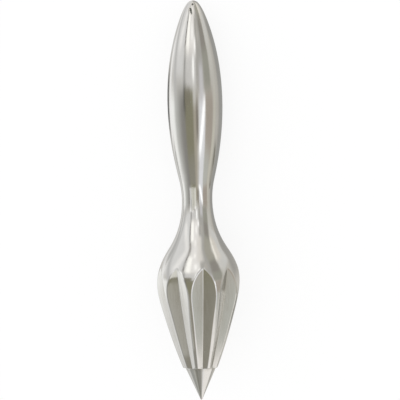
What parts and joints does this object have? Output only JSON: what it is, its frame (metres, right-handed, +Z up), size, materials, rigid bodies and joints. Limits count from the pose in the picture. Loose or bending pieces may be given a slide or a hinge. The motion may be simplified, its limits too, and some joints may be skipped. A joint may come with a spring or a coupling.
{
  "type": "handheld citrus reamer",
  "caption": "Polished metal hand reamer for citrus: a spindle grip, a narrow neck, a round shoulder, and a cone with V-shaped flutes, arched flute tops and a sharp point.",
  "frame": {"origin": "on the table, below the middle of the bounding box, with the tool lying at rest on its grip and on two ridges of its head", "axes": "+Z up from the table, +Y along the tool from the pointed tip to the rounded end of the grip, +X across it"},
  "size_m": [0.0356, 0.1696, 0.0353],
  "materials": {
    "polished_metal": "mirror polished, cast and buffed",
    "stud_steel": "turned, hidden inside the neck"
  },
  "bodies": {
    "root": {"grip": "polished_metal", "reamer_head": "polished_metal", "tip": "polished_metal", "joining_stud": "stud_steel"}
  },
  "joints": []
}
